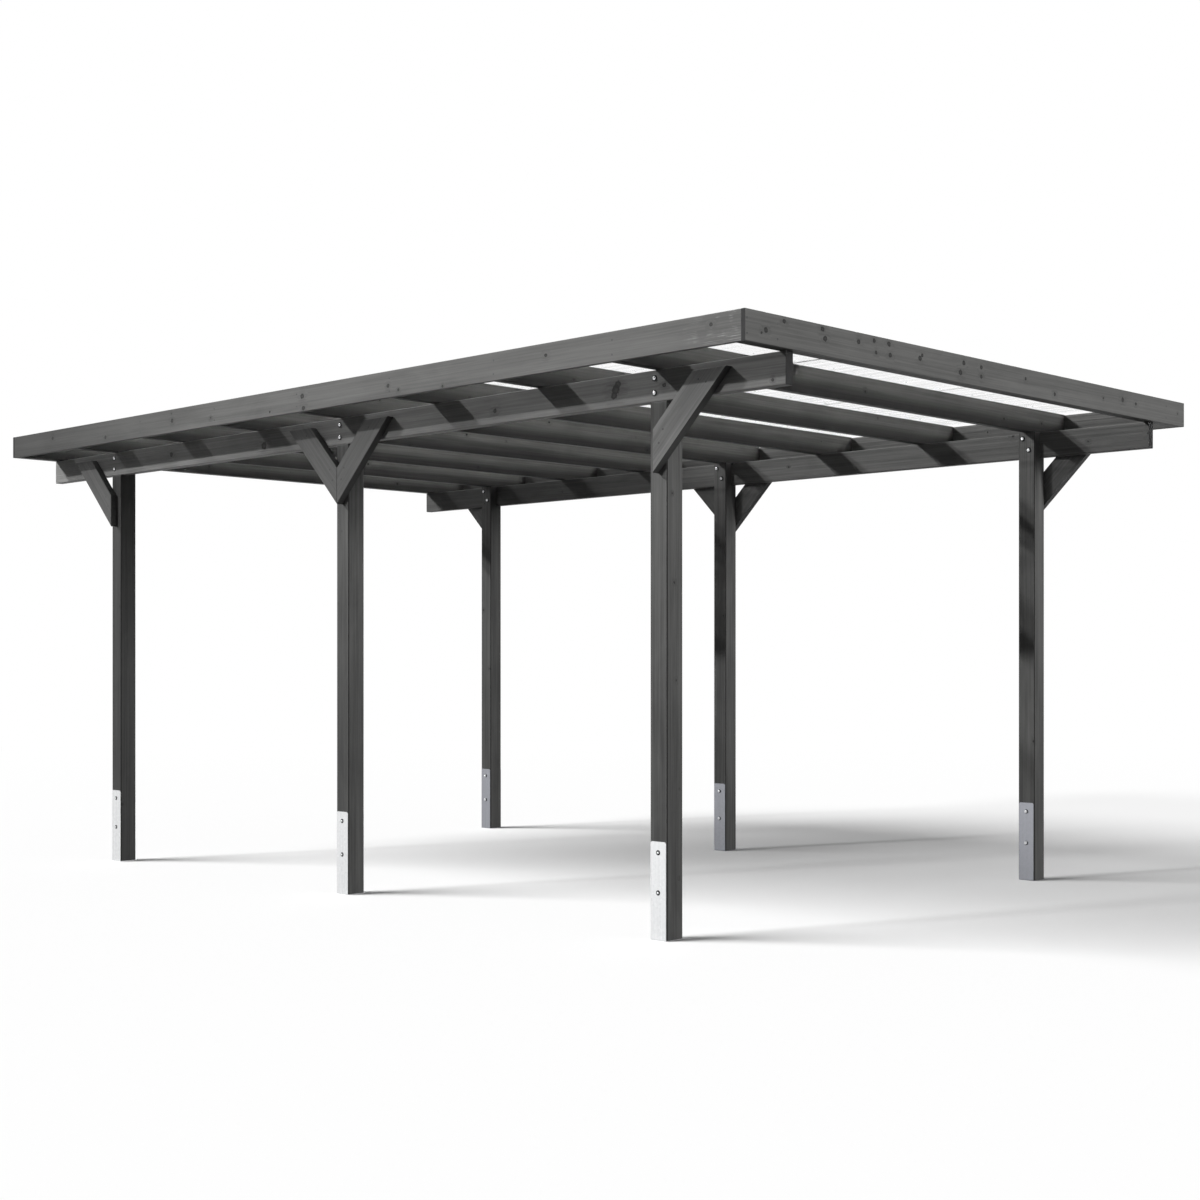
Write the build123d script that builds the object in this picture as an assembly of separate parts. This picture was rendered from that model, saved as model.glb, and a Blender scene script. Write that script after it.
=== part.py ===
# Timber flat-roof carport: six notched posts on steel anchors, two purlins with head braces,
# nine rafters inside a fascia frame, and three lapped clear trapezoidal roof sheets.
# Millimetres. +Z is up, the entrance faces -Y, and the origin is on the ground under the middle.
import math
import os

from build123d import *

# Ground plan
roof_width = 3460.0
roof_length = 5540.0
side_overhang = 273.0
end_overhang = 636.0

# Posts
post_width = 95.0
post_arris = 4.0
clear_height = 2190.0

# Steel anchors that hold the posts
anchor_thickness = 3.0
anchor_width = 84.0
anchor_height = 402.0
anchor_corner_radius = 9.0
anchor_bend_radius = 4.0
anchor_hole_diameter = 11.0
anchor_hole_drop = 45.0
anchor_hole_pitch = 163.0

# Purlins along both sides
purlin_thickness = 45.0
purlin_depth = 130.0
purlin_setback = 28.0
purlin_arris = 2.5

# Rafters across the roof
rafter_thickness = 40.0
rafter_depth = 123.0
rafter_arris = 2.5
rafters_per_bay = 3

# Fascia boards round the roof
fascia_thickness = 20.0
fascia_depth = 120.0
fascia_arris = 1.5

# Head braces
brace_thickness = 36.0
brace_width = 125.0
brace_reach = 390.0
brace_drop = 32.0
brace_arris = 2.0

# Clear roof sheets
sheet_thickness = 1.5
sheet_height = 12.0
sheet_inset = 30.0
sheet_rear_gap = 5.0
sheet_rib_pitch = 71.0
sheet_count = 3

# One rib of a sheet: where along the pitch it turns, and how high it is there
rib_run_shares = (0.0, 0.24, 0.36, 0.64, 0.76)
rib_rise_shares = (0.0, 0.0, 1.0, 1.0, 0.0)

# How far a cutting shape runs past what it cuts
overrun = 20.0

# Heights and places that follow from the sizes above
purlin_top = clear_height + purlin_depth
rafter_top = purlin_top + rafter_depth
post_base = anchor_thickness
side_x = roof_width / 2
end_y = roof_length / 2
frame_x = side_x - fascia_thickness
frame_y = end_y - fascia_thickness
post_face_x = side_x - side_overhang
post_centre_x = post_face_x - post_width / 2
post_pitch = end_y - end_overhang - post_width / 2
sides = {"left": -1, "right": 1}
rows = {"front": -post_pitch, "middle": 0.0, "rear": post_pitch}

os.makedirs("parts", exist_ok=True)


def save(name, solid):
    solid.label = name
    export_step(solid, "parts/" + name + ".step")


def board(size_x, size_y, size_z, x, y, z, along, arris):
    """A planed timber standing on height z, its long edges eased by the arris."""
    seat = (Align.CENTER, Align.CENTER, Align.MIN)
    timber = Pos(x, y, z) * Box(size_x, size_y, size_z, align=seat)
    return chamfer(timber.edges().filter_by(along), arris)


def post(side, y):
    """A square post whose head is notched on its outer side to carry the purlin."""
    height = purlin_top - post_base
    shaft = board(post_width, post_width, height, side * post_centre_x, y, post_base, Axis.Z, post_arris)
    notch_x = purlin_thickness + overrun
    notch_z = purlin_depth + overrun
    notch_middle = post_face_x - purlin_thickness + notch_x / 2
    seat = (Align.CENTER, Align.CENTER, Align.MIN)
    notch = Box(notch_x, post_width + 2 * overrun, notch_z, align=seat)
    shaft -= Pos(side * notch_middle, y, clear_height) * notch
    shoulder = shaft.edges().filter_by(Axis.Y).filter_by_position(Axis.Z, clear_height, clear_height)
    return chamfer(shoulder.sort_by(Axis.X)[-1 if side > 0 else 0], purlin_arris)


def anchor(side, y):
    """A bent steel shoe: a web under the post and a flange up its outer and inner faces."""
    outer = post_width / 2 + anchor_thickness
    inner = post_width / 2
    shoe_points = [
        (-outer, anchor_height), (-outer, 0), (outer, 0), (outer, anchor_height),
        (inner, anchor_height), (inner, anchor_thickness), (-inner, anchor_thickness), (-inner, anchor_height),
    ]
    section = Plane.XZ * make_face(Polyline(*shoe_points, close=True))
    shoe = extrude(section, amount=anchor_width / 2, both=True)
    shoe = fillet(shoe.edges().filter_by(Axis.Y).group_by(Axis.Z)[0], anchor_bend_radius)
    shoe = fillet(shoe.edges().filter_by(Axis.X).group_by(Axis.Z)[-1], anchor_corner_radius)
    for number in range(2):
        hole_z = anchor_height - anchor_hole_drop - number * anchor_hole_pitch
        bit = Cylinder(anchor_hole_diameter / 2, 2 * (outer + overrun), rotation=(0, 90, 0))
        shoe -= Pos(0, 0, hole_z) * bit
    return Pos(side * post_centre_x, y, 0) * shoe


def brace(side, y, way):
    """A 45 degree brace, cut upright on the post's centre line and level under the purlin's top."""
    top = purlin_top - brace_drop
    cut = brace_width / math.cos(math.radians(45))
    outline_points = [
        (y, top - brace_reach),
        (y, top - brace_reach + cut),
        (y + way * (brace_reach - cut), top),
        (y + way * brace_reach, top),
    ]
    face = Plane.YZ * make_face(Polyline(*outline_points, close=True))
    timber = extrude(face, amount=brace_thickness, dir=(1, 0, 0))
    x = post_face_x if side > 0 else -post_face_x - brace_thickness
    timber = Pos(x, 0, 0) * timber
    outer_face = timber.faces().sort_by(Axis.X)[-1 if side > 0 else 0]
    return chamfer(outer_face.edges(), brace_arris)


def roof_sheet(first_rib, last_rib, lift):
    """A run of trapezoidal ribs, drawn as one wavy section and pulled along the roof."""
    rise = sheet_height - sheet_thickness
    start_x = -sheet_rib_pitch * rib_count / 2
    lower = []
    for rib in range(first_rib, last_rib + 1):
        for run_share, rise_share in zip(rib_run_shares, rib_rise_shares):
            lower.append((start_x + (rib + run_share) * sheet_rib_pitch, rise_share * rise))
    lower.append((start_x + (last_rib + 1) * sheet_rib_pitch, 0))
    upper = [(x, z + sheet_thickness) for x, z in reversed(lower)]
    section = Plane.XZ * make_face(Polyline(*lower, *upper, close=True))
    front = -frame_y + sheet_inset
    rear = end_y - sheet_rear_gap
    sheet = extrude(section, amount=rear - front, dir=(0, 1, 0))
    return Pos(0, front, rafter_top + lift) * sheet


# Posts in their anchors
for side_name, side in sides.items():
    for row_name, y in rows.items():
        save("post_" + row_name + "_" + side_name, post(side, y))
        save("anchor_" + row_name + "_" + side_name, anchor(side, y))

# Purlins lie in the post notches, flush with the posts' outer faces and with the back of the roof
purlin_length = roof_length - purlin_setback
for side_name, side in sides.items():
    x = side * (post_face_x - purlin_thickness / 2)
    y = purlin_setback / 2
    save("purlin_" + side_name,
         board(purlin_thickness, purlin_length, purlin_depth, x, y, clear_height, Axis.Y, purlin_arris))

# Braces on the outer faces: one at each end post, a mitred pair at each middle post
brace_ways = [("front", "front", -1), ("middle", "middle_fore", -1), ("middle", "middle_aft", 1), ("rear", "rear", 1)]
for side_name, side in sides.items():
    for row_name, place, way in brace_ways:
        save("brace_" + place + "_" + side_name, brace(side, rows[row_name], way))

# Rafters: one over every post row, the rest evenly between, and a header behind each end fascia
rafter_step = post_pitch / rafters_per_bay
rafter_places = {}
for number in range(2 * rafters_per_bay + 1):
    rafter_places["rafter_" + str(number + 1)] = -post_pitch + number * rafter_step
rafter_places["header_front"] = -frame_y + rafter_thickness / 2
rafter_places["header_rear"] = frame_y - rafter_thickness / 2
for name, y in rafter_places.items():
    save(name, board(2 * frame_x, rafter_thickness, rafter_depth, 0, y, purlin_top, Axis.X, rafter_arris))

# Fascia: the front and rear boards cover the ends of the side boards
for side_name, side in sides.items():
    x = side * (side_x - fascia_thickness / 2)
    save("fascia_" + side_name,
         board(fascia_thickness, 2 * frame_y, fascia_depth, x, 0, purlin_top, Axis.Y, fascia_arris))
end_board_y = end_y - fascia_thickness / 2
for name, y in {"fascia_front": -end_board_y, "fascia_rear": end_board_y}.items():
    save(name, board(roof_width, fascia_thickness, fascia_depth, 0, y, purlin_top, Axis.X, fascia_arris))

# Roof sheets: each laps its neighbour by one rib, the middle one on top, and all drain over the rear fascia
rib_count = math.floor(2 * (frame_x - sheet_inset) / sheet_rib_pitch)
lap_ribs = [round(number * (rib_count - 1) / sheet_count) for number in range(sheet_count + 1)]
for number, name in enumerate(["left", "middle", "right"]):
    lift = sheet_thickness if name == "middle" else 0
    save("roof_sheet_" + name, roof_sheet(lap_ribs[number], lap_ribs[number + 1], lift))
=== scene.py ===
import math

import bmesh
import bpy
from mathutils import Matrix, Vector


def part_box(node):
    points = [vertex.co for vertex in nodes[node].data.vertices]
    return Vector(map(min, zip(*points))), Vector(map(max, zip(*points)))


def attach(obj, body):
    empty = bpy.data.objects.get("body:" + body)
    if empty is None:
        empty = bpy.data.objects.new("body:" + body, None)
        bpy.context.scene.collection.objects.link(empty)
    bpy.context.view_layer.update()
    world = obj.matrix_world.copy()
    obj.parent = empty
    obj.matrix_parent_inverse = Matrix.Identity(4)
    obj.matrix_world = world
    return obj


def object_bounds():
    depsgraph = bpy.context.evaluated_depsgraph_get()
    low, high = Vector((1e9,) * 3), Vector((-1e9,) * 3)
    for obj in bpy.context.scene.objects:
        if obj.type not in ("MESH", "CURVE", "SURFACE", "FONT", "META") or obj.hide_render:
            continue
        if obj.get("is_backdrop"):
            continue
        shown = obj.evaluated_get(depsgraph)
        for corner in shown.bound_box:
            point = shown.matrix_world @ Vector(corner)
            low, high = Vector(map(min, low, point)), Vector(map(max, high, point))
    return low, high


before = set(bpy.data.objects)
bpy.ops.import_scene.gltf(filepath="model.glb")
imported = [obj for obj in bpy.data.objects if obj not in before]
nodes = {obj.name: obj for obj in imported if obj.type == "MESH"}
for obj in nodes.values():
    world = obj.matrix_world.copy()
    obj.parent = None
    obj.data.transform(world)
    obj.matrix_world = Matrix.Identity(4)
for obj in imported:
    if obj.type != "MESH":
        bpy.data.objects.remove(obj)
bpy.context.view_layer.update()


# Post anchors: bent steel shoes, hot-dip galvanised after bending, so the zinc is dull and
# spangled with faint runs down the flanges. Two round-headed bolts go through each shoe and
# post, with a nut on the inner side; the near-black washers under heads and nuts are painted shade.
sides = {"left": -1.0, "right": 1.0}
rows = ("front", "middle", "rear")
zinc_colour = (0.64, 0.645, 0.65, 1.0)
zinc_shadow = (0.43, 0.437, 0.445, 1.0)
# A darker copy of the zinc for the right-hand shoes: painted shade, as they stand in shade under the roof.
shaded_zinc_colour = (0.23, 0.235, 0.255, 1.0)
shaded_zinc_shadow = (0.19, 0.195, 0.215, 1.0)
spangle_scale, spangle_share, spangle_relief = 75.0, 0.35, 0.08
run_range, run_share = (0.36, 0.74), 0.40
zinc_bright_roughness, zinc_dull_roughness = 0.36, 0.52
scuff_scale, scuff_range, scuff_roughness = 420.0, (0.3, 0.7), 0.14
worn_range, worn_tone = (0.45, 0.75), 0.78
bolt_roughness, shade_ring_roughness = 0.18, 0.5
anchor_bolt_drops = (0.045, 0.208)
anchor_dome_radius, anchor_dome_height = 0.0056, 0.0046
anchor_ring_radius = 0.0108
ring_height = 0.0012
nut_radius, nut_height, nut_ease = 0.00874, 0.0064, 0.0012
head_steps, merge_gap = 24, 1e-5
bolt_colour = (0.62, 0.63, 0.64, 1.0)
# Near-black washers under heads and nuts: painted shade round the bolts.
shade_ring_colour = (0.02, 0.02, 0.021, 1.0)


def shade(tree, kind, inputs=None, **settings):
    """A node of a finish: settings are its own properties, inputs are values or links."""
    made = tree.nodes.new(kind)
    for key, value in settings.items():
        setattr(made, key, value)
    for key, value in (inputs or {}).items():
        if isinstance(value, bpy.types.NodeSocket):
            tree.links.new(value, made.inputs[key])
        else:
            made.inputs[key].default_value = value
    return made


def sums(tree, operation, first, second=0.0, clamp=False):
    terms = {0: first, 1: second}
    return shade(tree, "ShaderNodeMath", terms, operation=operation, use_clamp=clamp).outputs[0]


def spread(tree, value, low, high, to_low=0.0, to_high=1.0, smooth=True):
    """Carries a value from one range to another, and holds it there."""
    kind = "SMOOTHSTEP" if smooth else "LINEAR"
    ends = {"Value": value, "From Min": low, "From Max": high, "To Min": to_low, "To Max": to_high}
    return shade(tree, "ShaderNodeMapRange", ends, interpolation_type=kind).outputs[0]


def blend_colour(tree, factor, first, second, kind="MIX"):
    made = shade(tree, "ShaderNodeMix", {0: factor, 6: first, 7: second}, data_type="RGBA", blend_type=kind)
    return made.outputs[2]


def new_finish(name):
    finish = bpy.data.materials.new(name)
    finish.use_nodes = True
    finish.node_tree.nodes.clear()
    return finish, finish.node_tree


def close_finish(tree, shader):
    out = tree.nodes.new("ShaderNodeOutputMaterial")
    tree.links.new(shader.outputs[0], out.inputs["Surface"])


def wear(obj, finish):
    obj.data.materials.clear()
    obj.data.materials.append(finish)


def galvanised_finish(name, bright, dim):
    finish, tree = new_finish(name)
    place = shade(tree, "ShaderNodeTexCoord").outputs["Object"]
    spangle = shade(tree, "ShaderNodeTexVoronoi", {"Vector": place, "Scale": spangle_scale}).outputs["Color"]
    flake = shade(tree, "ShaderNodeSeparateColor", {0: spangle}).outputs[0]
    runs_place = shade(tree, "ShaderNodeMapping", {"Vector": place, "Scale": (60.0, 60.0, 3.0)}).outputs[0]
    runs = shade(tree, "ShaderNodeTexNoise", {"Vector": runs_place, "Scale": 1.0, "Detail": 3.0}).outputs[0]
    dull = sums(tree, "ADD", sums(tree, "MULTIPLY", flake, spangle_share),
                spread(tree, runs, *run_range, 0.0, run_share))
    colour = blend_colour(tree, dull, bright, dim)
    rough = spread(tree, dull, 0.0, 1.0, zinc_bright_roughness, zinc_dull_roughness)
    bump = shade(tree, "ShaderNodeBump", {"Height": flake, "Strength": spangle_relief, "Distance": 0.001})
    metal = {"Base Color": colour, "Metallic": 0.85, "Roughness": rough, "Normal": bump.outputs[0]}
    close_finish(tree, shade(tree, "ShaderNodeBsdfPrincipled", metal))
    return finish


def plated_finish(name, colour, roughness):
    """Bright zinc plating, a little scuffed."""
    finish, tree = new_finish(name)
    place = shade(tree, "ShaderNodeTexCoord").outputs["Object"]
    scuffs = shade(tree, "ShaderNodeTexNoise", {"Vector": place, "Scale": scuff_scale, "Detail": 2.0}).outputs[0]
    rough = spread(tree, scuffs, *scuff_range, roughness, roughness + scuff_roughness)
    worn = tuple(part * worn_tone for part in colour[:3]) + (1.0,)
    tint = blend_colour(tree, spread(tree, scuffs, *worn_range), colour, worn)
    metal = {"Base Color": tint, "Metallic": 1.0, "Roughness": rough}
    close_finish(tree, shade(tree, "ShaderNodeBsdfPrincipled", metal))
    return finish


def turned(profile, steps):
    """A template mesh: a half outline of (radius, height) points spun round its axis."""
    bm = bmesh.new()
    points = [bm.verts.new((radius, 0.0, height)) for radius, height in profile]
    outline = [bm.edges.new(pair) for pair in zip(points, points[1:])]
    bmesh.ops.spin(bm, geom=points + outline, cent=(0, 0, 0), axis=(0, 0, 1), angle=math.tau,
                   steps=steps, use_merge=True)
    bmesh.ops.remove_doubles(bm, verts=bm.verts, dist=merge_gap)
    bmesh.ops.recalc_face_normals(bm, faces=bm.faces)
    mesh = bpy.data.meshes.new("turned")
    bm.to_mesh(mesh)
    bm.free()
    return mesh


def round_head(radius, height, lift):
    """A template mesh: a low dome, as on a carriage bolt, standing on a washer."""
    turns = [step * math.pi / 12 for step in range(7)]
    profile = [(radius * math.sin(turn), lift + height * math.cos(turn)) for turn in turns]
    return turned(profile + [(0.0, lift)], head_steps)


def flat_ring(radius, height):
    """A template mesh: a thin washer with its upper edge eased."""
    profile = [(0.0, height), (radius * 0.94, height), (radius, height * 0.4), (radius, 0.0), (0.0, 0.0)]
    return turned(profile, head_steps)


def hexagon(radius, height, ease, lift):
    """A template mesh: a six-sided nut with its top edges eased, standing on a washer."""
    bm = bmesh.new()
    bmesh.ops.create_cone(bm, cap_ends=True, segments=6, radius1=radius, radius2=radius, depth=height)
    bmesh.ops.translate(bm, verts=bm.verts, vec=(0, 0, lift + height / 2))
    top = [edge for edge in bm.edges if all(vert.co.z > lift + height / 2 for vert in edge.verts)]
    bmesh.ops.bevel(bm, geom=top, offset=ease, affect="EDGES", segments=2, profile=0.5, material=-1)
    mesh = bpy.data.meshes.new("hexagon")
    bm.to_mesh(mesh)
    bm.free()
    return mesh


def set_heads(name, template, places, finish, smooth=True):
    """One piece made of many like heads, each standing on a point and facing outward."""
    bm = bmesh.new()
    for point, outward in places:
        facing = Vector((0, 0, 1)).rotation_difference(Vector(outward)).to_matrix().to_4x4()
        start = len(bm.verts)
        bm.from_mesh(template)
        bm.verts.ensure_lookup_table()
        bmesh.ops.transform(bm, matrix=Matrix.Translation(point) @ facing, verts=bm.verts[start:])
    for face in bm.faces:
        face.smooth = smooth
    mesh = bpy.data.meshes.new(name)
    bm.to_mesh(mesh)
    bm.free()
    piece = bpy.data.objects.new(name, mesh)
    bpy.context.scene.collection.objects.link(piece)
    wear(piece, finish)
    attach(piece, "root")


galvanised = galvanised_finish("galvanised_zinc", zinc_colour, zinc_shadow)
shaded_zinc = galvanised_finish("painted_shade_zinc", shaded_zinc_colour, shaded_zinc_shadow)
bolt_plating = plated_finish("bolt_plating", bolt_colour, bolt_roughness)
shade_ring_plating = plated_finish("painted_shade_washer", shade_ring_colour, shade_ring_roughness)
anchor_head_places, anchor_nut_places = [], []
for side_name, side in sides.items():
    for row in rows:
        anchor = "anchor_" + row + "_" + side_name
        # The right-hand shoes wear the darker zinc, a painted shade.
        wear(nodes[anchor], galvanised if side < 0 else shaded_zinc)
        low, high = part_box(anchor)
        outer, inner = (low.x, high.x) if side < 0 else (high.x, low.x)
        for drop in anchor_bolt_drops:
            anchor_head_places.append(((outer, (low.y + high.y) / 2, high.z - drop), (side, 0, 0)))
            anchor_nut_places.append(((inner, (low.y + high.y) / 2, high.z - drop), (-side, 0, 0)))
anchor_head = round_head(anchor_dome_radius, anchor_dome_height, ring_height)
nut = hexagon(nut_radius, nut_height, nut_ease, ring_height)
set_heads("anchor_bolts", anchor_head, anchor_head_places, bolt_plating)
set_heads("anchor_nuts", nut, anchor_nut_places, bolt_plating, smooth=False)
anchor_ring = flat_ring(anchor_ring_radius, ring_height)
set_heads("anchor_shade_washers", anchor_ring, anchor_head_places + anchor_nut_places, shade_ring_plating,
          smooth=False)


# Posts: square spruce, planed, with eased edges and a thin anthracite stain that lets streaks,
# clouds and knots of the wood show. The cut ends drink more stain and are almost black.
post_light = (0.120, 0.120, 0.1175, 1.0)
post_dark = (0.041, 0.041, 0.0405, 1.0)
# Each post's stain is made paler or darker to match how light falls on it: painted light and shade.
post_painted_light_tones = {"post_front_left": 1.06, "post_middle_left": 0.98, "post_rear_left": 0.55,
              "post_front_right": 1.15, "post_middle_right": 1.08, "post_rear_right": 0.76}
end_grain = (0.013, 0.013, 0.0135, 1.0)
knot_colour = (0.010, 0.0098, 0.0095, 1.0)
knot_squash = 1.1
upright = (0.0, math.pi / 2, 0.0)
cell_long, cell_wide, cell_scatter = 2.6, 9.0, 0.9
ragged_scale, ragged_depth, ragged_share = 95.0, 0.008, 0.9
core_share, halo_from, halo_to = 0.35, 0.6, 4.0
grain_bend = 0.011
broad_stretch, fine_stretch, cloud_stretch = (0.75, 30.0, 30.0), (1.8, 125.0, 125.0), (2.4, 6.5, 6.5)
grain_range, cloud_range = (0.34, 0.68), (0.30, 0.70)
broad_share, fine_share, cloud_share, halo_share = 0.34, 0.38, 0.32, 0.24
hair_stretch, hair_range = (7.0, 330.0, 330.0), (0.52, 0.66)
torn_scale, torn_range = 14.0, (0.42, 0.62)
knot_strength, end_strength = 0.94, 0.96
relief_strength, relief_depth = 0.28, 0.0012
pale_roughness, dark_roughness, wood_gloss = 0.66, 0.50, 0.14


def stained_timber(name, turn, light, dark, knot_size=0.011, knot_share=0.5, spots=(), raw_end=None,
                   painted_light_ramp=None, edge_shade_share=1.0, under_shade_share=1.0, eased=(1.7, 0.22)):
    """Stained spruce whose grain runs along X once its place is turned.
    Spots are listed knots: along the board, up the board, size.
    The painted light ramp paints shade along one turned axis, or light where its share is above one:
    the axis, from, to and the share of colour left.
    The edge shade share is how much colour the board's narrow sawn edges keep, the under shade share
    what its underside keeps: both are painted shade. Eased is the share of the pale colour on its eased
    edges, a painted highlight, or painted shade where that share is small, and its strength."""
    finish, tree = new_finish(name)
    place = shade(tree, "ShaderNodeTexCoord").outputs["Object"]
    along = shade(tree, "ShaderNodeMapping", {"Vector": place, "Rotation": turn}).outputs[0]
    parts = shade(tree, "ShaderNodeSeparateXYZ", {0: along}).outputs
    across = sums(tree, "ADD", parts[1], parts[2])

    # Knots grow on a loose grid of cells, and only some cells have one
    cells = shade(tree, "ShaderNodeCombineXYZ", {0: sums(tree, "MULTIPLY", parts[0], cell_long),
                                                 1: sums(tree, "MULTIPLY", across, cell_wide)}).outputs[0]
    seeds = shade(tree, "ShaderNodeTexVoronoi", {"Vector": cells, "Scale": 1.0, "Randomness": cell_scatter},
                  voronoi_dimensions="2D")
    offset = shade(tree, "ShaderNodeVectorMath", {0: cells, 1: seeds.outputs["Position"]},
                   operation="SUBTRACT")
    to_metres = (1.0 / cell_long, knot_squash / cell_wide, 0.0)
    offset = shade(tree, "ShaderNodeVectorMath", {0: offset.outputs[0], 1: to_metres}, operation="MULTIPLY")
    away = shade(tree, "ShaderNodeVectorMath", {0: offset.outputs[0]}, operation="LENGTH").outputs["Value"]
    luck = shade(tree, "ShaderNodeSeparateColor", {0: seeds.outputs["Color"]}).outputs[0]
    size = spread(tree, luck, 1.0 - knot_share, 1.0, 0.0, knot_size, smooth=False)
    ragged = shade(tree, "ShaderNodeTexNoise",
                   {"Vector": place, "Scale": ragged_scale, "Detail": 2.0}).outputs[0]
    away = sums(tree, "ADD", away, sums(tree, "MULTIPLY", sums(tree, "SUBTRACT", ragged, 0.5), ragged_depth))
    knots = spread(tree, away, sums(tree, "MULTIPLY", size, core_share), size, 1.0, 0.0)
    halo = spread(tree, away, sums(tree, "MULTIPLY", size, halo_from),
                  sums(tree, "MULTIPLY", size, halo_to), 1.0, 0.0)
    squashed = sums(tree, "MULTIPLY", parts[2], knot_squash)
    flat = shade(tree, "ShaderNodeCombineXYZ", {0: parts[0], 1: squashed}).outputs[0]
    for spot_along, spot_up, spot_size in spots:
        point = (spot_along, spot_up * knot_squash, 0.0)
        gap = shade(tree, "ShaderNodeVectorMath", {0: flat, 1: point}, operation="DISTANCE").outputs["Value"]
        frayed = sums(tree, "MULTIPLY", sums(tree, "SUBTRACT", ragged, 0.5), spot_size * ragged_share)
        gap = sums(tree, "ADD", gap, frayed)
        rim = sums(tree, "MULTIPLY", spread(tree, gap, spot_size * 0.2, spot_size * 0.7, 0.75, 1.0),
                   spread(tree, gap, spot_size * 0.75, spot_size * 1.1, 1.0, 0.0))
        knots = sums(tree, "MAXIMUM", knots, rim)
        halo = sums(tree, "MAXIMUM", halo, spread(tree, gap, spot_size * 0.5, spot_size * 4.0, 1.0, 0.0))

    # The grain bends round the knots, in broad streaks, fine lines and clouds of stain
    bend = shade(tree, "ShaderNodeCombineXYZ", {1: sums(tree, "MULTIPLY", halo, grain_bend)}).outputs[0]
    bent = shade(tree, "ShaderNodeVectorMath", {0: along, 1: bend}, operation="ADD").outputs[0]
    broad_place = shade(tree, "ShaderNodeMapping", {"Vector": bent, "Scale": broad_stretch}).outputs[0]
    broad = shade(tree, "ShaderNodeTexNoise", {"Vector": broad_place, "Scale": 1.0, "Detail": 4.0,
                                               "Roughness": 0.55, "Distortion": 0.35}).outputs[0]
    fine_place = shade(tree, "ShaderNodeMapping", {"Vector": bent, "Scale": fine_stretch}).outputs[0]
    fine = shade(tree, "ShaderNodeTexNoise", {"Vector": fine_place, "Scale": 1.0, "Detail": 4.0,
                                              "Roughness": 0.65}).outputs[0]
    cloud_place = shade(tree, "ShaderNodeMapping", {"Vector": along, "Scale": cloud_stretch}).outputs[0]
    cloud = shade(tree, "ShaderNodeTexNoise", {"Vector": cloud_place, "Scale": 1.0, "Detail": 4.0,
                                               "Roughness": 0.55, "Distortion": 0.6}).outputs[0]
    tone = sums(tree, "ADD", sums(tree, "MULTIPLY", spread(tree, broad, *grain_range), broad_share),
                sums(tree, "MULTIPLY", spread(tree, fine, *grain_range), fine_share))
    tone = sums(tree, "ADD", tone, sums(tree, "MULTIPLY", spread(tree, cloud, *cloud_range), cloud_share))
    tone = sums(tree, "SUBTRACT", tone, sums(tree, "MULTIPLY", halo, halo_share), clamp=True)
    colour = blend_colour(tree, tone, dark, light)
    # Painted shade, or painted light where the share is above one, ramped along one axis
    if painted_light_ramp:
        axis, ramp_from, ramp_to, share = painted_light_ramp
        left = spread(tree, parts[axis], ramp_from, ramp_to, 1.0, share)
        left = shade(tree, "ShaderNodeCombineColor", {0: left, 1: left, 2: left}).outputs[0]
        colour = blend_colour(tree, 1.0, colour, left, kind="MULTIPLY")
    if raw_end:
        start, finish_at, raw_colour = raw_end
        hair_place = shade(tree, "ShaderNodeMapping", {"Vector": along, "Scale": hair_stretch}).outputs[0]
        hairs = shade(tree, "ShaderNodeTexNoise",
                      {"Vector": hair_place, "Scale": 1.0, "Detail": 2.0}).outputs[0]
        fibre = sums(tree, "MULTIPLY", spread(tree, parts[0], start, finish_at),
                     spread(tree, hairs, *hair_range))
        torn = shade(tree, "ShaderNodeTexNoise",
                     {"Vector": place, "Scale": torn_scale, "Detail": 2.0}).outputs[0]
        fibre = sums(tree, "MULTIPLY", fibre, spread(tree, torn, *torn_range))
        colour = blend_colour(tree, fibre, colour, raw_colour)
    colour = blend_colour(tree, sums(tree, "MULTIPLY", knots, knot_strength), colour, knot_colour)

    # Eased edges get a painted highlight, or painted shade where the pale share is small, except those
    # underneath; narrow edges and undersides keep less colour, a painted shade; cut ends are darker
    facing = shade(tree, "ShaderNodeNewGeometry").outputs["True Normal"]
    upward = shade(tree, "ShaderNodeSeparateXYZ", {0: facing}).outputs[2]
    facing = shade(tree, "ShaderNodeMapping", {"Vector": facing, "Rotation": turn},
                   vector_type="VECTOR").outputs[0]
    faces = shade(tree, "ShaderNodeSeparateXYZ", {0: facing}).outputs
    corner = sums(tree, "ABSOLUTE", sums(tree, "MULTIPLY", faces[1], faces[2]))
    painted_edge_light = sums(tree, "MULTIPLY", spread(tree, corner, 0.25, 0.45),
                  spread(tree, upward, -0.5, -0.2, 0.0, eased[1]))
    painted_edge_colour = tuple(min(1.0, part * eased[0]) for part in light[:3]) + (1.0,)
    colour = blend_colour(tree, painted_edge_light, colour, painted_edge_colour)
    painted_shade_kept = sums(tree, "MULTIPLY", spread(tree, sums(tree, "ABSOLUTE", faces[2]), 0.45, 0.60, 1.0, edge_shade_share),
                spread(tree, upward, -0.60, -0.85, 1.0, under_shade_share))
    painted_shade_kept = shade(tree, "ShaderNodeCombineColor", {0: painted_shade_kept, 1: painted_shade_kept, 2: painted_shade_kept}).outputs[0]
    colour = blend_colour(tree, 1.0, colour, painted_shade_kept, kind="MULTIPLY")
    ends = spread(tree, sums(tree, "ABSOLUTE", faces[0]), 0.75, 0.85)
    colour = blend_colour(tree, sums(tree, "MULTIPLY", ends, end_strength), colour, end_grain)

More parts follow.
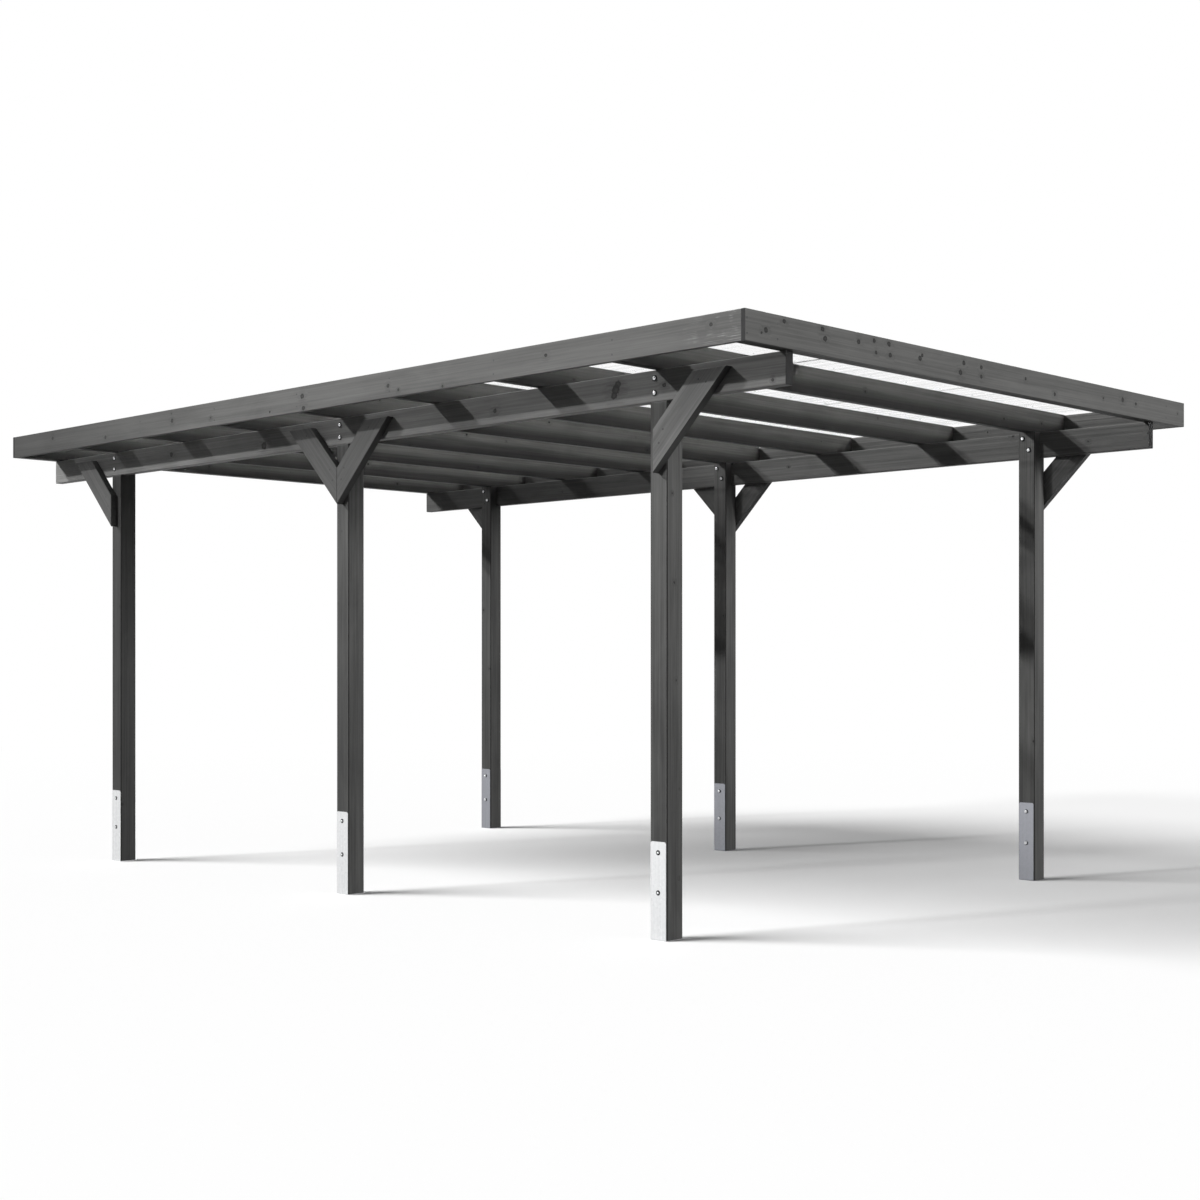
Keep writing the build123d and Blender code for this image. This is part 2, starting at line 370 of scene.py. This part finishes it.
    relief = sums(tree, "SUBTRACT", sums(tree, "ADD", fine, sums(tree, "MULTIPLY", broad, 0.6)),
                  sums(tree, "MULTIPLY", knots, 0.7))
    bump = shade(tree, "ShaderNodeBump",
                 {"Height": relief, "Strength": relief_strength, "Distance": relief_depth})
    rough = spread(tree, tone, 0.0, 1.0, dark_roughness, pale_roughness, smooth=False)
    wood = {"Base Color": colour, "Roughness": rough, "Specular IOR Level": wood_gloss,
            "Normal": bump.outputs[0]}
    close_finish(tree, shade(tree, "ShaderNodeBsdfPrincipled", wood))
    return finish


# Posts darken towards the foot, and their eased edges are painted near black: painted shade.
for post_name, share in post_painted_light_tones.items():
    light = tuple(part * share for part in post_light[:3]) + (1.0,)
    dark = tuple(part * share for part in post_dark[:3]) + (1.0,)
    wear(nodes[post_name], stained_timber(post_name + "_stain", upright, light, dark, knot_size=0.010,
                                          knot_share=0.42, painted_light_ramp=(0, 2.1, 0.2, 0.72), eased=(0.12, 0.85)))


# Purlins: planed spruce beams let into the post heads, each held there by two round-headed
# carriage bolts, with a nut on the inner side of the post; the near-black washers under heads
# and nuts are painted shade.
# The left purlin's stain is paler than the right one's and paler still towards its rear: painted light. The
# right purlin's stain darkens towards its rear: painted shade.
left_beam_light = (0.190, 0.190, 0.1860, 1.0)
left_beam_dark = (0.082, 0.082, 0.0805, 1.0)
right_beam_light = (0.152, 0.152, 0.1485, 1.0)
right_beam_dark = (0.065, 0.065, 0.0640, 1.0)
lengthwise = (0.0, 0.0, -math.pi / 2)
left_purlin_knots = ((-1.858, 2.284, 0.019), (-1.846, 2.262, 0.024), (-1.836, 2.240, 0.019),
                     (-2.118, 2.254, 0.011), (0.655, 2.238, 0.022), (0.36, 2.273, 0.018),
                     (-2.68, 2.214, 0.008), (-1.10, 2.247, 0.012), (1.52, 2.262, 0.015),
                     (2.33, 2.241, 0.012))
bolt_heights = (2.288, 2.227)
left_bolt_shifts = (0.023, 0.023)
right_bolt_shifts = (0.022, -0.014)
dome_radius, dome_height = 0.0090, 0.0056
ring_radius = 0.0135

left_stain = stained_timber("left_purlin_stain", lengthwise, left_beam_light, left_beam_dark, knot_size=0.009,
                            knot_share=0.2, spots=left_purlin_knots, painted_light_ramp=(0, 0.2, 1.2, 1.5))
right_stain = stained_timber("right_purlin_stain", lengthwise, right_beam_light, right_beam_dark,
                             knot_size=0.013, knot_share=0.4, painted_light_ramp=(0, 0.2, 1.7, 0.5))
wear(nodes["purlin_left"], left_stain)
wear(nodes["purlin_right"], right_stain)
dome = round_head(dome_radius, dome_height, ring_height)
dome_places, nut_places = [], []
for side_name, side in sides.items():
    for row in rows:
        low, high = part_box("post_" + row + "_" + side_name)
        outer, inner = (low.x, high.x) if side < 0 else (high.x, low.x)
        shifts = left_bolt_shifts if side < 0 else right_bolt_shifts
        for height, shift in zip(bolt_heights, shifts):
            y = (low.y + high.y) / 2 + shift
            dome_places.append(((outer, y, height), (side, 0, 0)))
            nut_places.append(((inner, y, height), (-side, 0, 0)))
ring = flat_ring(ring_radius, ring_height)
set_heads("purlin_bolt_heads", dome, dome_places, bolt_plating)
set_heads("purlin_bolt_nuts", nut, nut_places, bolt_plating, smooth=False)
set_heads("purlin_bolt_shade_washers", ring, dome_places + nut_places, shade_ring_plating,
          smooth=False)


# Head braces: short planed boards at 45 degrees, screwed flat on the outer faces of post and
# purlin. Their grain runs up the slope. The screws are countersunk.
brace_light = (0.116, 0.116, 0.1140, 1.0)
brace_dark = (0.055, 0.055, 0.0545, 1.0)
# The front left brace gets a paler copy of the brace stain: painted light.
front_brace_light = (0.190, 0.190, 0.1870, 1.0)
front_brace_dark = (0.084, 0.084, 0.0830, 1.0)
slope = math.pi / 4
fore_turn = (slope, 0.0, -math.pi / 2)
aft_turn = (-slope, 0.0, -math.pi / 2)
screw_radius, screw_sink = 0.0042, 0.0007
screw_steps = 14
screw_colour = (0.045, 0.045, 0.046, 1.0)
foot_screws = ((0.034, 0.118), (0.056, 0.172))
head_screws = ((0.285, 0.338), (0.246, 0.352))

# The braces' narrow edges keep only part of their colour: painted shade.
front_stain = stained_timber("front_brace_stain", fore_turn, front_brace_light, front_brace_dark,
                             knot_size=0.008, knot_share=0.25, edge_shade_share=0.25)
fore_stain = stained_timber("fore_brace_stain", fore_turn, brace_light, brace_dark, knot_size=0.008,
                            knot_share=0.25, edge_shade_share=0.65)
aft_stain = stained_timber("aft_brace_stain", aft_turn, brace_light, brace_dark, knot_size=0.008,
                           knot_share=0.25, edge_shade_share=0.65)
screw_plating = plated_finish("screw_plating", screw_colour, 0.34)
screw_profile = [(0.0, -screw_sink), (screw_radius * 0.34, -screw_sink), (screw_radius * 0.46, 0.0004),
                 (screw_radius * 0.92, 0.0004), (screw_radius, 0.0), (screw_radius * 0.7, -0.002),
                 (0.0, -0.002)]
screw = turned(screw_profile, screw_steps)
brace_screw_places = []
for side_name, side in sides.items():
    for place_name, way, stain in (("front", -1, front_stain if side < 0 else fore_stain),
                                   ("middle_fore", -1, fore_stain), ("middle_aft", 1, aft_stain),
                                   ("rear", 1, aft_stain)):
        brace = "brace_" + place_name + "_" + side_name
        wear(nodes[brace], stain)
        low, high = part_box(brace)
        foot_y = high.y if way < 0 else low.y
        outer = low.x if side < 0 else high.x
        for out_along, up in foot_screws + head_screws:
            brace_screw_places.append(((outer, foot_y + way * out_along, low.z + up), (side, 0, 0)))
set_heads("brace_screws", screw, brace_screw_places, screw_plating)


# Rafters and headers: planed boards on edge across both purlins, one over each post row and
# the rest evenly between; a header closes each end behind the fascia.
crosswise = (0.0, 0.0, 0.0)
rafter_light = (0.118, 0.118, 0.1130, 1.0)
rafter_dark = (0.051, 0.051, 0.0490, 1.0)

# Each rafter darkens towards its lower edge and its underside keeps less colour: painted shade.
rafter_stain = stained_timber("rafter_stain", crosswise, rafter_light, rafter_dark, knot_size=0.011,
                              knot_share=0.5, painted_light_ramp=(2, 2.410, 2.340, 0.32), under_shade_share=0.35)
for name in ["rafter_" + str(number) for number in range(1, 8)] + ["header_front", "header_rear"]:
    wear(nodes[name], rafter_stain)


# Fascia: thin planed boards screwed round the roof, the end boards over the ends of the side
# boards. They stand in full light, so knots, clouds and torn fibres show most here.
fascia_light = (0.162, 0.162, 0.1580, 1.0)
fascia_dark = (0.081, 0.081, 0.0790, 1.0)
torn_colour = (0.36, 0.36, 0.36, 1.0)
front_knots = ((-1.501, 2.421, 0.010), (-1.609, 2.373, 0.012), (-1.636, 2.360, 0.006), (-1.263, 2.422, 0.012),
               (-1.247, 2.387, 0.013), (-1.029, 2.403, 0.012), (-0.924, 2.420, 0.010), (-0.911, 2.374, 0.009),
               (-0.824, 2.419, 0.012), (-0.815, 2.376, 0.012), (-0.603, 2.388, 0.013), (-0.588, 2.402, 0.009),
               (-0.277, 2.407, 0.012), (-0.303, 2.363, 0.014), (-0.141, 2.404, 0.011), (-0.141, 2.364, 0.010),
               (0.22, 2.395, 0.009), (0.47, 2.352, 0.010), (0.913, 2.380, 0.006), (1.100, 2.392, 0.013),
               (1.229, 2.385, 0.009), (1.661, 2.380, 0.005))
left_knots = ((-2.603, 2.400, 0.009), (-0.044, 2.393, 0.014), (-0.053, 2.336, 0.013), (0.219, 2.343, 0.007),
              (-0.686, 2.374, 0.010), (-0.760, 2.348, 0.007), (-1.062, 2.331, 0.007), (1.08, 2.381, 0.012),
              (1.74, 2.352, 0.011), (2.31, 2.396, 0.012), (-1.71, 2.389, 0.009))
fascia_screw_inset = 0.030
fascia_screw_heights = (0.028, 0.086)

# All fascia boards keep less colour on their undersides, and the left board darkens towards its rear: painted
# shade.
side_stain = stained_timber("side_fascia_stain", lengthwise, fascia_light, fascia_dark, under_shade_share=0.25)
left_fascia_stain = stained_timber("left_fascia_stain", lengthwise, fascia_light, fascia_dark,
                                   knot_size=0.008, knot_share=0.25, spots=left_knots,
                                   raw_end=(-2.35, -2.72, torn_colour), painted_light_ramp=(0, 0.2, 2.9, 0.45),
                                   under_shade_share=0.25)
end_stain = stained_timber("end_fascia_stain", crosswise, fascia_light, fascia_dark, under_shade_share=0.25)
front_fascia_stain = stained_timber("front_fascia_stain", crosswise, fascia_light, fascia_dark,
                                    knot_size=0.007, knot_share=0.12, spots=front_knots, under_shade_share=0.25)
wear(nodes["fascia_left"], left_fascia_stain)
wear(nodes["fascia_right"], side_stain)
wear(nodes["fascia_front"], front_fascia_stain)
wear(nodes["fascia_rear"], end_stain)
fascia_screw_places = []
for end_name, way in (("front", -1), ("rear", 1)):
    low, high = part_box("fascia_" + end_name)
    face_y = low.y if way < 0 else high.y
    for x in (low.x + fascia_screw_inset / 3, high.x - fascia_screw_inset / 3, low.x + 0.19, high.x - 0.19):
        for up in fascia_screw_heights:
            fascia_screw_places.append(((x, face_y, low.z + up), (0, way, 0)))
for side_name, side in sides.items():
    low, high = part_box("fascia_" + side_name)
    face_x = low.x if side < 0 else high.x
    for number in range(1, 8):
        rafter_low, rafter_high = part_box("rafter_" + str(number))
        for up in fascia_screw_heights:
            y = (rafter_low.y + rafter_high.y) / 2
            fascia_screw_places.append(((face_x, y, low.z + up), (side, 0, 0)))
dark_plating = plated_finish("dark_screw_plating", (0.06, 0.06, 0.062, 1.0), 0.45)
set_heads("fascia_screws", screw, fascia_screw_places, dark_plating)


# Roof sheets: clear trapezoidal plastic, lapped by one rib and screwed down through the tops
# of the ribs into every rafter, with a soft cap under each screw head. Dust lies on their tops
# and dims the light that comes through, more so towards the rear.
sheet_tint = (0.90, 0.925, 0.935, 1.0)
plastic_ior = 1.46
top_facing = (0.75, 0.90)
slope_haze, underside_share = 0.055, 0.15
dust_haze, rear_dust_haze = 0.20, 0.45
shadow_haze, rear_shadow_haze = 0.23, 0.55
dusty_from, dusty_to = 0.1, 1.0
cap_radius, cap_height, cap_steps = 0.0105, 0.0048, 12
sheet_screw_colour = (0.55, 0.56, 0.57, 1.0)
rib_pitch = 0.071
first_screwed_rib, screwed_rib_step = 3, 4


def clear_sheet_finish(name):
    """Clear plastic under dust: what shows is haze and a gloss, the rest lets the light pass."""
    finish, tree = new_finish(name)
    place = shade(tree, "ShaderNodeTexCoord").outputs["Object"]
    streak_place = shade(tree, "ShaderNodeMapping", {"Vector": place, "Scale": (28.0, 0.7, 28.0)}).outputs[0]
    streaks = shade(tree, "ShaderNodeTexNoise",
                    {"Vector": streak_place, "Scale": 1.0, "Detail": 4.0}).outputs[0]
    facing = shade(tree, "ShaderNodeNewGeometry").outputs["True Normal"]
    upward = shade(tree, "ShaderNodeSeparateXYZ", {0: facing}).outputs[2]
    back = shade(tree, "ShaderNodeSeparateXYZ", {0: place}).outputs[1]
    settled = spread(tree, back, dusty_from, dusty_to, dust_haze, rear_dust_haze)
    dust = spread(tree, upward, *top_facing, slope_haze, settled)
    dust = sums(tree, "MULTIPLY", dust, spread(tree, upward, -0.90, -0.75, underside_share, 1.0))
    haze = sums(tree, "MULTIPLY", dust, spread(tree, streaks, 0.36, 0.70, 0.6, 1.4))
    gloss = shade(tree, "ShaderNodeFresnel", {"IOR": plastic_ior}).outputs[0]
    gloss = sums(tree, "MULTIPLY", gloss, spread(tree, upward, *top_facing, 0.0, 0.6))
    haze = sums(tree, "ADD", haze, gloss, clamp=True)
    shadow_ray = shade(tree, "ShaderNodeLightPath").outputs["Is Shadow Ray"]
    dim = spread(tree, back, dusty_from, dusty_to, shadow_haze, rear_shadow_haze)
    haze = shade(tree, "ShaderNodeMix", {0: shadow_ray, 2: haze, 3: dim}).outputs[0]
    rough = spread(tree, streaks, 0.3, 0.7, 0.10, 0.22)
    plastic = {"Base Color": sheet_tint, "Roughness": rough, "Alpha": haze, "IOR": plastic_ior}
    close_finish(tree, shade(tree, "ShaderNodeBsdfPrincipled", plastic))
    return finish


clear_sheet = clear_sheet_finish("clear_sheet")
for name in ("left", "middle", "right"):
    wear(nodes["roof_sheet_" + name], clear_sheet)
cap_profile = [(0.0, cap_height * 0.62), (cap_radius * 0.6, cap_height * 0.56),
               (cap_radius * 0.9, cap_height * 0.36), (cap_radius, 0.0), (0.0, 0.0)]
cap = turned(cap_profile, cap_steps)
sheet_screw = hexagon(cap_radius * 0.40, cap_height * 0.44, cap_height * 0.1, cap_height * 0.56)
sheet_screw_plating = plated_finish("sheet_screw_plating", sheet_screw_colour, 0.40)
cap_places = []
sheet_low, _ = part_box("roof_sheet_left")
_, sheet_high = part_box("roof_sheet_right")
middle_low, middle_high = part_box("roof_sheet_middle")
rib_count = round((sheet_high.x - sheet_low.x) / rib_pitch)
for rib in range(first_screwed_rib, rib_count, screwed_rib_step):
    x = sheet_low.x + (rib + 0.5) * rib_pitch
    top = middle_high.z if middle_low.x < x < middle_high.x else sheet_high.z
    for name in ["rafter_" + str(number) for number in range(1, 8)] + ["header_rear"]:
        low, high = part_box(name)
        cap_places.append(((x, (low.y + high.y) / 2, top), (0, 0, 1)))
set_heads("sheet_caps", cap, cap_places, clear_sheet)
set_heads("sheet_screws", sheet_screw, cap_places, sheet_screw_plating, smooth=False)


# Floor and surroundings: a pale, matt floor that melts into a white background. What the camera
# sees is white; the light that floor and background throw on the part is dim.
floor_half, fade_start, fade_end = 40.0, 5.5, 15.0
floor_colour = (0.93, 0.93, 0.93, 1.0)
bounce_colour = (0.05, 0.05, 0.05, 1.0)
room_light = 0.16

bm = bmesh.new()
bmesh.ops.create_grid(bm, x_segments=1, y_segments=1, size=floor_half)
floor_mesh = bpy.data.meshes.new("floor")
bm.to_mesh(floor_mesh)
bm.free()
floor = bpy.data.objects.new("floor", floor_mesh)
bpy.context.scene.collection.objects.link(floor)
floor_finish, tree = new_finish("pale_floor")
ground = shade(tree, "ShaderNodeTexCoord").outputs["Object"]
reach = shade(tree, "ShaderNodeVectorMath", {0: ground}, operation="LENGTH").outputs["Value"]
fade = spread(tree, reach, fade_start, fade_end)
path = shade(tree, "ShaderNodeLightPath").outputs
seen = sums(tree, "MAXIMUM", path["Is Camera Ray"], sums(tree, "MAXIMUM", path["Is Glossy Ray"],
                                                         path["Is Transmission Ray"]))
glow = spread(tree, seen, 0.0, 1.0, room_light, 1.0, smooth=False)
matt = shade(tree, "ShaderNodeBsdfDiffuse", {"Color": blend_colour(tree, seen, bounce_colour, floor_colour)})
white = shade(tree, "ShaderNodeEmission", {"Color": (1, 1, 1, 1), "Strength": glow})
close_finish(tree, shade(tree, "ShaderNodeMixShader", {0: fade, 1: matt.outputs[0], 2: white.outputs[0]}))
wear(floor, floor_finish)
floor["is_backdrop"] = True

world = bpy.data.worlds.new("studio")
bpy.context.scene.world = world
world.use_nodes = True
tree = world.node_tree
tree.nodes.clear()
path = shade(tree, "ShaderNodeLightPath").outputs
seen = sums(tree, "MAXIMUM", path["Is Camera Ray"], sums(tree, "MAXIMUM", path["Is Glossy Ray"],
                                                         path["Is Transmission Ray"]))
glow = spread(tree, seen, 0.0, 1.0, room_light, 1.0, smooth=False)
sky = shade(tree, "ShaderNodeBackground", {"Color": (1, 1, 1, 1), "Strength": glow})
out = tree.nodes.new("ShaderNodeOutputWorld")
tree.links.new(sky.outputs[0], out.inputs["Surface"])


# Light: a low key from the left, and a weak front and back lamp, shine on the whole part. Posts
# and fascia, the roof timbers and the braces each have one lamp more, set so that the shadows of
# fascia and rafters fall where they should. The floor has a broad lamp and one for its streaks.
lamp_distance = 6.0
lights = (("key", (1.0, -0.50, -0.365), 1.8, 1.5, "part"),
          ("post_light", (0.85, -1.00, -0.85), 2.6, 1.5, "posts"),
          ("roof_light", (0.45, -1.00, -0.85), 5.0, 1.5, "roof"),
          ("brace_light", (0.90, -0.50, -0.35), 1.6, 60.0, "braces"),
          ("front_light", (-0.15, 0.95, -0.16), 2.3, 14.0, "part"),
          ("back_light", (-0.80, -0.45, -0.35), 1.7, 25.0, "part"),
          ("floor_streak", (1.0, -0.35, -0.42), 0.9, 6.0, "floor"),
          ("floor_light", (0.85, -0.70, -1.00), 3.75, 30.0, "floor"))
part_pieces = [piece for piece in bpy.context.scene.objects if piece.type == "MESH" and piece is not floor]
lit_words = {"posts": ("post", "anchor", "fascia"),
             "roof": ("purlin", "rafter", "header"),
             "braces": ("brace",)}
lit_pieces = {"floor": [floor], "part": part_pieces}
for group_name, words in lit_words.items():
    lit_pieces[group_name] = [piece for piece in part_pieces if piece.name.startswith(words)]
lit_groups = {}
for group_name, pieces in lit_pieces.items():
    lit_groups[group_name] = bpy.data.collections.new("lit_" + group_name)
    for piece in pieces:
        lit_groups[group_name].objects.link(piece)
for name, direction, strength, soft_angle, group_name in lights:
    lamp = bpy.data.lights.new(name, "SUN")
    lamp.energy = strength
    lamp.angle = math.radians(soft_angle)
    lamp_object = bpy.data.objects.new(name, lamp)
    lamp_object.rotation_euler = Vector(direction).to_track_quat("-Z", "Y").to_euler()
    lamp_object.location = -lamp_distance * Vector(direction)
    bpy.context.scene.collection.objects.link(lamp_object)
    lamp_object.light_linking.receiver_collection = lit_groups[group_name]


# Camera: level, left of the entrance, at about chest height.
image_size = 1200.0
focal_pixels, horizon_row = 1804.6, 660.75
sensor_width = 36.0
camera_place, camera_yaw = (-6.865, -7.042, 1.137), math.radians(45.64)

camera = bpy.data.cameras.new("camera")
camera.sensor_width = sensor_width
camera.lens = sensor_width * focal_pixels / image_size
camera.shift_y = (horizon_row - image_size / 2) / image_size
camera_object = bpy.data.objects.new("camera", camera)
camera_object.location = camera_place
camera_object.rotation_euler = (math.pi / 2, 0.0, -camera_yaw)
bpy.context.scene.collection.objects.link(camera_object)
bpy.context.scene.camera = camera_object
bpy.context.scene.view_settings.view_transform = "Standard"

low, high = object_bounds()
